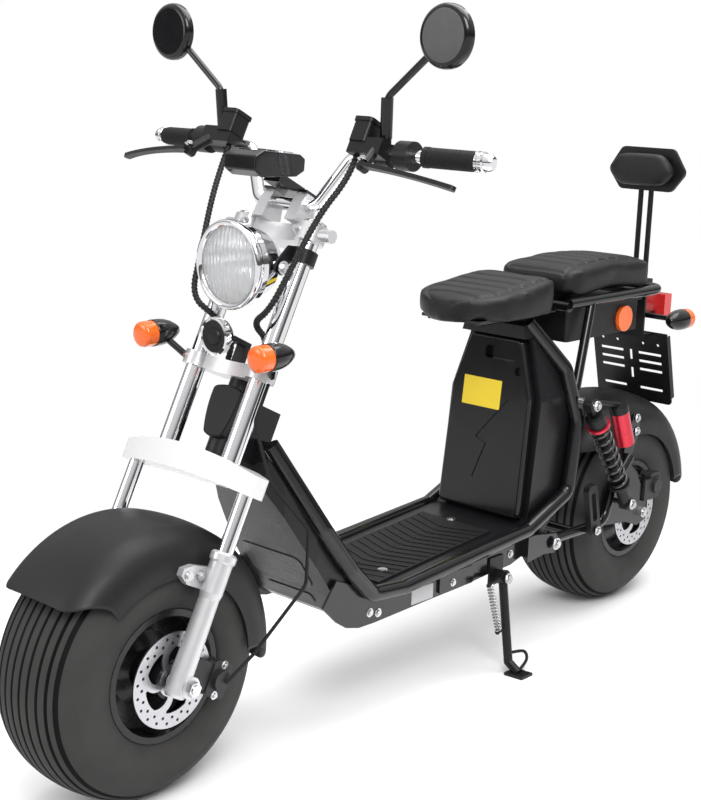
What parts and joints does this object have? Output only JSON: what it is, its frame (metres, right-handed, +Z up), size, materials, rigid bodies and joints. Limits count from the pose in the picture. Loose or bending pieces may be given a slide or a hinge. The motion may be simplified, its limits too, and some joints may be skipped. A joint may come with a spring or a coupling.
{
  "type": "electric chopper scooter",
  "caption": "Low electric chopper scooter on two fat tyres with a wide raised handlebar, raked fork, flat deck, two seats and a backrest, leaning on its side stand",
  "frame": {"origin": "middle of the whole scooter on the ground", "axes": "+X forward, +Y to the left, +Z up"},
  "size_m": [1.8628, 0.7874, 1.2959],
  "materials": {
    "tyre_rubber": "matt black rubber",
    "rim_black": "gloss black paint",
    "disc_steel": "ground steel",
    "chrome": "polished chrome",
    "fork_silver": "silver white paint",
    "black_steel": "satin black paint",
    "black_plastic": "fine grained black plastic",
    "gloss_black": "gloss black plastic",
    "rubber": "matt black rubber",
    "clear_lens": "clear fluted lens",
    "steel_parts": "zinc plated steel",
    "cast_alloy": "cast alloy",
    "seat_vinyl": "black grained vinyl",
    "red_metal": "red anodised"
  },
  "bodies": {
    "frame": {"body_shell": "black_plastic", "side_plates": "black_steel", "edge_rails": "black_steel", "deck_mat": "rubber", "battery_pack": "gloss_black", "head_tube": "black_steel", "rear_rack": "black_steel", "storage_box": "black_plastic", "front_seat": "seat_vinyl", "rear_seat": "seat_vinyl", "backrest_frame": "black_steel", "backrest_pad": "seat_vinyl", "rear_fender": "black_plastic", "plate_bracket": "black_steel", "rear_lights": "gloss_black", "swing_arm": "black_steel", "shock_absorbers": "black_steel", "shock_springs": "black_steel", "shock_reservoirs": "red_metal", "shock_mounts": "steel_parts", "foot_pegs": "black_steel", "rear_axle": "steel_parts", "rear_caliper": "cast_alloy", "stand_bracket": "black_steel"},
    "steering": {"fork_tubes": "chrome", "fork_legs": "fork_silver", "fork_bridge": "fork_silver", "lower_clamp": "fork_silver", "upper_clamp": "fork_silver", "handlebar": "chrome", "grips": "rubber", "hand_controls": "black_plastic", "mirrors": "gloss_black", "speedometer": "gloss_black", "front_axle": "steel_parts", "front_caliper": "cast_alloy", "headlight_shell": "chrome", "headlight_lens": "clear_lens", "headlight_brackets": "black_steel", "horn": "black_steel", "front_signals": "gloss_black", "front_fender": "black_plastic", "front_brake_hose": "rubber", "control_cables": "rubber"},
    "front_wheel": {"front_tyre": "tyre_rubber", "front_rim": "rim_black", "front_disc": "disc_steel"},
    "rear_wheel": {"rear_tyre": "tyre_rubber", "rear_rim": "rim_black", "rear_disc": "disc_steel"},
    "side_stand": {"side_stand": "black_steel"}
  },
  "joints": [
    {"name": "steering", "type": "hinge", "parent": "frame", "child": "steering", "pos_m": [0.48752, -0.02366, 0.59149], "axis": [-0.4431, 0.0469, 0.8953], "range_deg": [-35, 35]},
    {"name": "front_wheel_turn", "type": "hinge", "parent": "steering", "child": "front_wheel", "pos_m": [0.70942, -0.04303, 0.22201], "axis": [0, 0.9986, -0.0523], "continuous": true},
    {"name": "rear_wheel_turn", "type": "hinge", "parent": "frame", "child": "rear_wheel", "pos_m": [-0.67058, -0.04303, 0.22201], "axis": [0, 0.9986, -0.0523], "continuous": true},
    {"name": "stand_fold", "type": "hinge", "parent": "frame", "child": "side_stand", "pos_m": [-0.13458, 0.09258, 0.19187], "axis": [0, 0.9914, 0.1305], "range_deg": [0, 75]}
  ]
}
